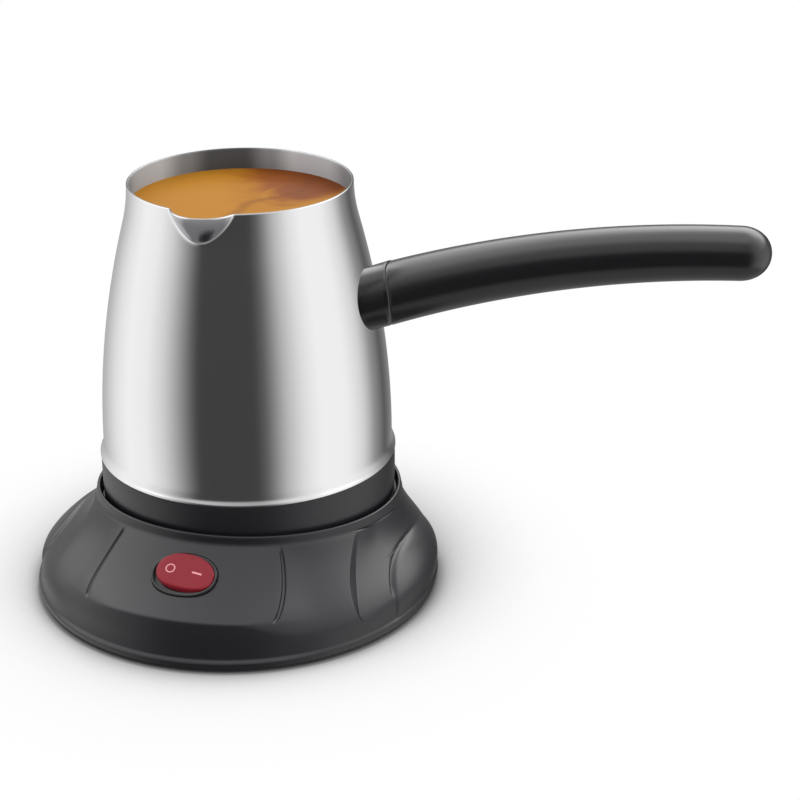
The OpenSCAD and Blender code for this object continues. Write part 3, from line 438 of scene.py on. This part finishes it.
grip.data.materials.append(grip_black)
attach(grip, "pot")
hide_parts("handle_grip")


def collar_place(t, w, scale=1.0):
    """The collar is a straight round bar along the handle's root, ending on the pot's wall."""
    y, u = collar_bar_r * scale * math.cos(w), collar_bar_r * scale * math.sin(w)
    s, c = math.sin(math.radians(slope)), math.cos(math.radians(slope))
    return root_x + t * c - u * s, y, root_z + t * s + u * c


def on_wall(w):
    """Where a line of the collar's surface meets the pot's wall."""
    low, high = -12, 20
    for _ in range(40):
        middle = (low + high) / 2
        x, y, z = collar_place(middle, w)
        low, high = (low, middle) if math.hypot(x, y) > wall_radius(z) else (middle, high)
    return low


roots = [on_wall(w) for w in turns]
ends = [seam_at(collar_place, w, 0, 0, 30) for w in turns]
rings = [[metres(collar_place(mix(a, b - 0.3, k / 8), w)) for a, b, w in zip(roots, ends, turns)]
         for k in range(9)]
rings += [[metres(collar_place(b - d, w, s)) for b, w in zip(ends, turns)]
          for d, s in ((0.1, 0.99), (0.0, 0.965), (0.0, 0.9), (0.0, 0.7))]
collar = loft("handle_collar_moulded", rings)
collar.visible_glossy = False
collar.data.materials.append(grip_black)
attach(collar, "pot")
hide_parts("handle_collar")

# ---- Base cover ----
# The base's upper shell, one black moulding: a round seat with a tilted collar, a
# hollow panel for the switch, valleys and rounded ears at the sides. Angles run
# from the front in degrees, and a share of 0 to 1 runs from the collar to the foot.
seat_r, seat_z, collar_r, tower_r = 48.9, 24.0, 50.6, 15.2
outline_r, offset, cover_z, cover_t = 65.7, 12.2, 3.0, 2.6
shell_r, crease_r, crease_z = collar_r + 0.6, outline_r - 3.7, 15.3
panel_angle, panel_share = 29.0, 0.6
step_at, step_sweep, step_share, step_height = 46.8, 13.2, 0.63, 2.0
ear_middle, ear_front, ear_back, ear_share, ear_power = 84, 24, 32, 0.71, 2.5
groove_at, groove_sweep, groove_r, groove_half, groove_depth = 30.3, 5.1, 60, 0.62, 0.65


def outline(a, r):
    """The outline's distance from the pot's axis: a circle whose middle lies further in front."""
    a = math.radians(a)
    return offset * math.cos(a) + math.sqrt(r * r - (offset * math.sin(a)) ** 2)


def collar_top(a):
    c = math.cos(math.radians(a))
    return seat_z + 4.6 + 2.8 * c + 1.2 * c * c


def top_and_foot(a):
    """The two ends of the skin at an angle, as (radius, height)."""
    return np.array((shell_r, collar_top(a) - 3.2)), np.array((outline(a, outline_r), cover_z))


def front_point(a, s):
    """The panel and the steep band below it, which meet in a crease that softens sideways."""
    top, foot = top_and_foot(a)
    crease = np.array((outline(a, crease_r), crease_z - 1.6 * (min(a, 40) / panel_angle) ** 2))
    if s < panel_share:
        k = s / panel_share
        hollow = k + 0.06 * math.sin(math.pi * k)
        p = np.array((mix(top[0], crease[0], k), mix(top[1], crease[1], hollow)))
    else:
        p = mix(crease, foot, (s - panel_share) / (1 - panel_share))
    soft = 0.012 + 0.15 * ease(a, 15, 31)
    h = max(0, 1 - abs(s - panel_share) / soft)
    return p + ((foot - crease) / (1 - panel_share) - (crease - top) / panel_share) * soft * h * h / 4


def side_point(a, s):
    """The round shoulder, one curve from the collar to the foot."""
    top, foot = top_and_foot(a)
    bulge = 0.2 + 2 * ease(a, 35, 75) * (1 - ease(a, 150, 180))
    p1 = top + (0.4 * (foot[0] - top[0]), -0.5 * (top[1] - foot[1]))
    p2 = foot + (bulge, 0.45 * (top[1] - foot[1]))
    t = 1 - s
    return t ** 3 * top + 3 * t * t * s * p1 + 3 * t * s * s * p2 + s ** 3 * foot


def step_front(s):
    if s < step_share:
        return step_at + step_sweep * (1 - s / step_share) ** 2.2
    return step_at + 30 * (s - step_share) ** 2


def step_back(s):
    return step_front(s) + 0.8 + 2.7 * math.sin(math.pi * min(1, 1.25 * s + 0.1))


def step(a, s):
    """A crescent-shaped step in each shoulder, with a swelling in front of it."""
    front, back = step_front(s), step_back(s)
    high = step_height * max(0, math.sin(math.pi * min(1, s / 0.86))) ** 0.7
    if a < front:
        return high * 0.5 * ease(a, 33, front)
    if a < back:
        return high * (0.5 - (a - front) / (back - front))
    return high * -0.5 * (1 - ease(a, back, back + 13))


def ear(a, s):
    """A rounded ear that stands proud on each side, with a gutter around its front."""
    half_width = ear_front if a < ear_middle else ear_back
    e = (abs(a - ear_middle) / half_width) ** ear_power + ((1 - s) / ear_share) ** ear_power
    x = max(0, 1 - e)
    crisp = 1 - ease(a, 78, 98)
    proud = 0.55 * (1 - math.exp(-(x / (0.06 + 0.3 * (1 - crisp))) ** 1.4)) + 0.45 * x ** 0.5
    cut_back = 0.85 * ease(a, step_back(s), step_back(s) + 12)
    gutter = 0.7 * math.exp(-((e - 1.07) / 0.065) ** 2) * (1 - ease(s, 0.58, 0.72)) * crisp
    return (1.1 * (proud - cut_back) - gutter) * (1 - ease(s, 0.9, 1))


def groove_middle(s):
    return groove_at - groove_sweep * min(1, s / panel_share) ** 2.1


def groove(a, s):
    """Depth of the fine groove at the panel's edge, which curves in to the crease."""
    away = math.radians(a - groove_middle(s)) * groove_r
    deep = groove_depth * math.exp(-(away / groove_half) ** 4)
    return deep * ease(s, 0.0, 0.05) * (1 - ease(s, 0.55, 0.61))


def cover_point(a, s):
    """The skin's (radius, height): drawn in towards the foot, which ends in a slanted ledge."""
    p = mix(front_point(a, s), side_point(a, s), ease(a, panel_angle - 3, panel_angle + 11))
    lift = ear(a, s) + step(a, s)
    inlet = 0.95 * ease(s, 0.70, 0.95) if s < 0.962 else 0.95 * max(0.1, (0.994 - s) / 0.032)
    return p + (lift * 0.8 - inlet, lift * 0.6 * (1 - s))


half = []
for start, gap, count in ((0, 1.0, 29), (29, 0.1, 27), (32, 0.5, 44), (54, 0.2, 21), (58.3, 0.4, 15),
                          (64.4, 0.15, 22), (68, 0.5, 60), (98, 1.5, 55), (180, 0.0, 1)):
    half += [start + gap * k for k in range(count)]
around = [-u for u in reversed(half[1:-1])] + half
levels = [0.0] + [0.012 + 0.012 * k for k in range(79)]
levels += [0.952, 0.958, 0.964, 0.970, 0.976, 0.985, 0.994, 1.0]


def warped(u, s):
    """Stations bend so that lines of them run along the groove, the step and the ear."""
    rise = max(0, 1 - ((1 - s) / ear_share) ** ear_power)
    ear_edge = max(step_back(s) + 3, ear_middle - ear_front * rise ** (1 / ear_power))
    groove_a = groove_middle(s)
    a = float(np.interp(abs(u), (0, 20, 28.9, 31.7, 54.6, 57.6, 66, 90, 180),
                        (0, 20, groove_a - 1.4, groove_a + 1.4, step_front(s), step_back(s),
                         ear_edge, 90, 180)))
    return math.copysign(a, u)


def cover_ring(s):
    ring = []
    for u in around:
        a = warped(u, s)
        r, z = cover_point(abs(a), s) - np.array((0.45, 0.9)) * groove(abs(a), s)
        ring.append(at(math.radians(a), r, z))
    return ring


rings = [cover_ring(s) for s in reversed(levels)]
for r, drop in ((0.0, 2.7), (-0.25, 2.2), (-0.35, 1.2), (-0.4, 0.75), (-0.5, 0.35), (-0.68, 0.12),
                (-0.9, 0.0), (-1.2, 0.0), (-1.45, 0.1), (-1.62, 0.3), (-1.7, 0.6)):
    rings.append([at(math.radians(u), collar_r + r, collar_top(u) - drop) for u in around])
for r, z in ((seat_r, seat_z + 0.6), (seat_r - 0.2, seat_z + 0.15), (seat_r - 0.6, seat_z), (30, seat_z),
             (tower_r, seat_z), (tower_r, seat_z - 3), (30, seat_z - 3), (48, seat_z - 3)):
    rings.append([at(math.radians(u), r, z) for u in around])
for s in (0.25, 0.5, 0.75, 1.0):
    ring = []
    for u in around:
        r, z = cover_point(abs(u), s)
        ring.append(at(math.radians(u), r - cover_t, z - 2.2 * (1 - s)))
    rings.append(ring)
cover = loft("base_cover_moulded", rings, tube_closed=True)
cover.data.materials.append(shell_black)

# The switch sits square to the panel, in its own frame: x along the oval,
# y up the slope and z out of the panel.
switch_r = 60.0
switch_s = panel_share * (switch_r - shell_r) / (outline(0, crease_r) - shell_r)
p0, p1 = cover_point(0, switch_s - 0.02), cover_point(0, switch_s + 0.02)
tilt = -math.atan2(p1[1] - p0[1], p1[0] - p0[0])
centre = cover_point(0, switch_s)
panel = Matrix.Translation((0, -centre[0] * MM, centre[1] * MM)) @ Matrix.Rotation(tilt, 4, "X")
oval_count, oval_power = 96, 0.9


def oval(length, width, z):
    """Points of the switch's oval, a little squarer than an ellipse."""
    ring = []
    for k in range(oval_count):
        c, s = math.cos(2 * math.pi * k / oval_count), math.sin(2 * math.pi * k / oval_count)
        x = length / 2 * math.copysign(abs(c) ** oval_power, c)
        y = width / 2 * math.copysign(abs(s) ** oval_power, s)
        ring.append((x * MM, y * MM, z * MM))
    return ring


def cut(piece, tool):
    """Takes the tool's shape out of the piece for good."""
    knife = piece.modifiers.new("cut", "BOOLEAN")
    knife.operation = "DIFFERENCE"
    knife.solver = "EXACT"
    knife.object = tool
    done = bpy.data.meshes.new_from_object(piece.evaluated_get(bpy.context.evaluated_depsgraph_get()))
    piece.modifiers.clear()
    piece.data = done
    bpy.data.objects.remove(tool)


switch_opening = loft("switch_opening", [oval(21.4, 15.4, z) for z in (-4.0, 12.0)])
switch_opening.data.transform(panel)
cut(cover, switch_opening)
gland_r, gland_z = 5.05, 11
turns = [math.pi * k / 32 for k in range(64)]
cut(cover, loft("gland_opening", [
    [(gland_r * MM * math.sin(w), y * MM, gland_z * MM + gland_r * MM * math.cos(w)) for w in turns]
    for y in (40, 60)]))
cover.data.set_sharp_from_angle(angle=math.radians(35))
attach(cover, "base")
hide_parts("base_cover")

# ---- Switch rim ----
# Glossy black moulded rim with a soft edge, snapped into the panel; the
# switch's body below it holds the rocker's pins.
bezel_black, tree, shader = new_material("bezel_black", (0.012, 0.012, 0.013), 0.2)
grain(tree, shader, 1500, 0.08)
rings = [oval(l, w, z) for l, w, z in (
    (18.8, 12.8, -11.5), (18.8, 12.8, -2.0), (21.0, 15.0, -2.0), (21.0, 15.0, 0.1), (20.9, 14.9, 0.35),
    (20.7, 14.7, 0.52), (20.4, 14.4, 0.6), (20.2, 13.2, 0.6), (19.95, 12.9, 0.52), (19.8, 12.7, 0.3),
    (19.8, 12.7, -1.3), (16.4, 10.4, -1.3), (16.4, 10.4, -10.0))]
rim = loft("switch_rim", rings)
rim.data.transform(panel)
rim.data.materials.append(bezel_black)
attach(rim, "base")
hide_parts("switch_housing")

# ---- Rocker ----
# Translucent red moulding, lit from below by a small lamp when it is on, with
# a pale ring and bar that stand slightly proud of its crowned face.
rocker_red, tree, shader = new_material("rocker_red", (0.19, 0.010, 0.018), 0.34)
shader.inputs["Coat Weight"].default_value = 0.1
shader.inputs["Specular IOR Level"].default_value = 0.2
shader.inputs["Subsurface Weight"].default_value = 0.1
shader.inputs["Subsurface Radius"].default_value = (0.004, 0.0006, 0.0006)
grain(tree, shader, 1100, 0.1)
pivot, crown, top_z, rest_angle = -2.8, 30.0, 3.4, math.radians(9)
leaning = (panel @ Matrix.Translation((0, 0, pivot * MM)) @ Matrix.Rotation(rest_angle, 4, "Y")
           @ Matrix.Translation((0, 0, -pivot * MM)))


def face_z(x):
    """Height of the rocker's crowned face over its middle plane, in millimetres."""
    return top_z - crown + math.sqrt(crown * crown - x * x)


def crowned(length, width, drop):
    """An oval that follows the crowned face, a little below it."""
    return [(x, y, (face_z(x / MM) - drop) * MM) for x, y, _ in oval(length, width, 0)]


rings = [oval(12.6, 9.0, -4.5), oval(12.6, 9.0, 0.9), oval(18.2, 12.0, 0.9)]
rings += [crowned(l, w, d) for l, w, d in (
    (18.2, 12.0, 0.7), (18.1, 11.9, 0.38), (17.8, 11.6, 0.14), (17.3, 11.1, 0.03), (16.6, 10.4, 0.0),
    (14, 8.6, 0), (11, 6.6, 0), (7, 4.2, 0), (3, 1.8, 0), (0.5, 0.3, 0))]
rocker = loft("switch_rocker_moulded", rings)
rocker.data.transform(leaning)
rocker.data.materials.append(rocker_red)
rocker.visible_glossy = False
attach(rocker, "rocker")
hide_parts("switch_rocker")

print_pink, tree, shader = new_material("mark_print", (0.62, 0.25, 0.27), 0.5)
grain(tree, shader, 900, 0.1)
mark_sink, mark_up, ring_x, bar_x, bar_length = 0.01, 0.05, -4.6, 2.3, 3.0
ring_mark = []
for k in range(48):
    w = 2 * math.pi * k / 48
    ring = []
    for r, up in ((1.15, 0.0), (1.2, mark_up), (1.5, mark_up), (1.55, 0.0)):
        x, y = ring_x + r * math.cos(w), r * math.sin(w)
        ring.append((x * MM, y * MM, (face_z(x) + up - mark_sink) * MM))
    ring_mark.append(ring)
mark = loft("mark_ring", ring_mark, tube_closed=True)
bar = []
for k in range(13):
    x = bar_x + bar_length * k / 12
    bar.append([(x * MM, y * MM, (face_z(x) + up - mark_sink) * MM)
                for y, up in ((-0.3, 0.0), (-0.27, mark_up), (0.27, mark_up), (0.3, 0.0))])
dash = loft("mark_bar", bar)
for piece in (mark, dash):
    piece.data.transform(leaning)
    piece.data.materials.append(print_pink)
    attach(piece, "rocker")


# ---- Parts that keep the construction's shape ----
# Each gets the finish of what it is made of: zinc-plated screws, brass
# contacts, pale heat-proof mouldings, sleeved leads and rubber.
def dress(material, pieces):
    """Gives construction nodes their finish in place of the plain one they came with."""
    for name in pieces:
        for place in cad[name].material_slots:
            place.material = material


for finish, colour, rough, metallic, scale, depth, pieces in (
        ("zinc_steel", (0.55, 0.55, 0.57), 0.34, 1.0, 800, 0.2,
         ("plate_posts", "skirt_screws", "pot_coupler_screws", "handle_bracket", "handle_screw",
          "base_screws", "base_coupler_screws")),
        ("heater_sheath", (0.30, 0.26, 0.23), 0.5, 0.9, 300, 0.3, ("heater_tube",)),
        ("cast_alloy", (0.66, 0.66, 0.68), 0.5, 1.0, 500, 0.4, ("heater_plate",)),
        ("contact_brass", (0.72, 0.50, 0.20), 0.3, 1.0, 700, 0.2,
         ("bimetal_disc", "live_blade", "neutral_blade", "earth_blade", "live_contact",
          "neutral_contact", "earth_contact", "switch_terminals")),
        ("coupler_white", (0.62, 0.59, 0.52), 0.45, 0.0, 900, 0.3,
         ("thermostat", "pot_coupler", "base_coupler")),
        ("lead_red", (0.42, 0.03, 0.025), 0.5, 0.0, 600, 0.3, ("heater_lead",)),
        ("lead_blue", (0.03, 0.08, 0.34), 0.5, 0.0, 600, 0.3,
         ("thermostat_lead", "thermostat_link", "lamp_lead")),
        ("lead_brown", (0.13, 0.05, 0.02), 0.5, 0.0, 600, 0.3, ("switch_lead",)),
        ("foot_rubber", (0.03, 0.03, 0.03), 0.75, 0.0, 1200, 0.5, ("feet", "cord_gland"))):
    material, tree, shader = new_material(finish, colour, rough, metallic)
    grain(tree, shader, scale, depth)
    dress(material, pieces)
lamp_glass, tree, shader = new_material("lamp_glass", (0.95, 0.55, 0.35), 0.08)
shader.inputs["Transmission Weight"].default_value = 0.7
grain(tree, shader, 300, 0.05)
dress(lamp_glass, ("neon_lamp",))
dress(shell_black, ("base_plate",))
# The steel doesn't mirror what the collar and the grip hide, as it doesn't mirror them.
for name in ("handle_bracket", "handle_screw"):
    cad[name].visible_glossy = False
